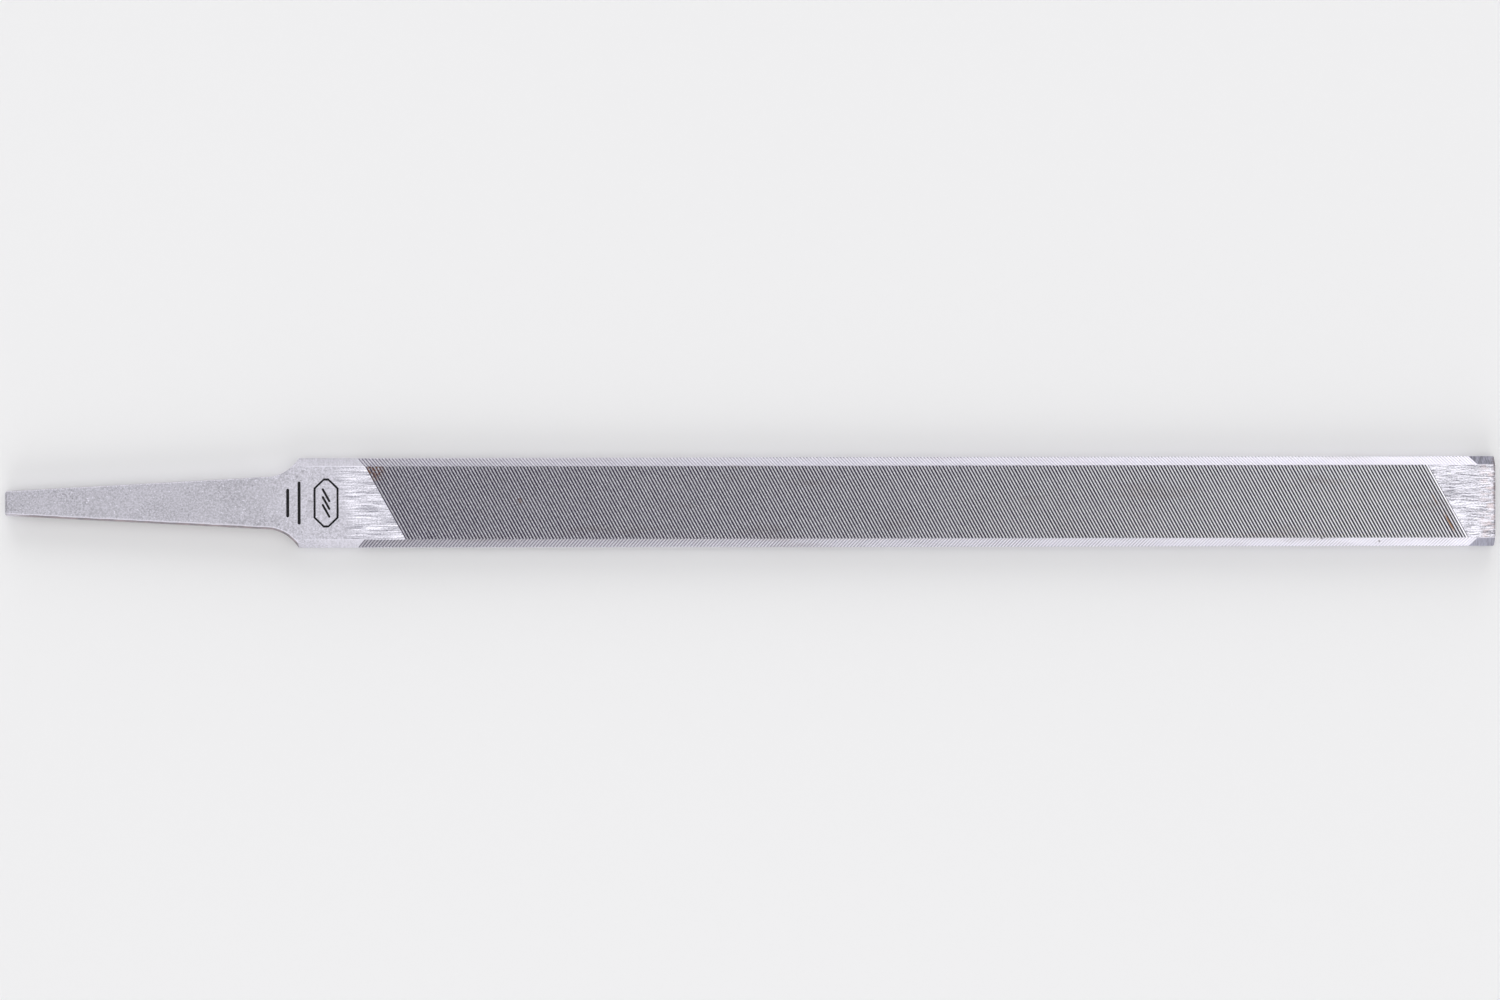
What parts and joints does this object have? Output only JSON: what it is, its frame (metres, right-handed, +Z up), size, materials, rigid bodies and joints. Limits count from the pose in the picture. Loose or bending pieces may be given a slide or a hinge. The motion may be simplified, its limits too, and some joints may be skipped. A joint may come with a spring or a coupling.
{
  "type": "flat file",
  "caption": "Flat hand file with bevelled edges: single-cut faces and bevels on a parallel blade, with a bare tapered tang for a handle.",
  "frame": {"origin": "under the middle of the file's box, on the surface that the lower teeth rest on", "axes": "+X from the tang to the point along the file; +Y across the blade, to the left when looking from the tang to the point; +Z up, out of the upper face"},
  "size_m": [0.249, 0.015, 0.0041],
  "materials": {
    "tang_steel": "fine matt blasted",
    "ground_steel": "ground lengthways",
    "point_steel": "coarsely ground lengthways",
    "face_tooth_steel": "chisel-cut single cut",
    "bevel_tooth_steel": "chisel-cut single cut",
    "mark_oxide": "black etched mark on the heel, only in the visual"
  },
  "bodies": {
    "root": {"tang": "tang_steel", "heel": "ground_steel", "body": "ground_steel", "point": "point_steel", "upper_face_teeth": "face_tooth_steel", "lower_face_teeth": "face_tooth_steel", "upper_left_bevel_teeth": "bevel_tooth_steel", "upper_right_bevel_teeth": "bevel_tooth_steel", "lower_left_bevel_teeth": "bevel_tooth_steel", "lower_right_bevel_teeth": "bevel_tooth_steel"}
  },
  "joints": []
}
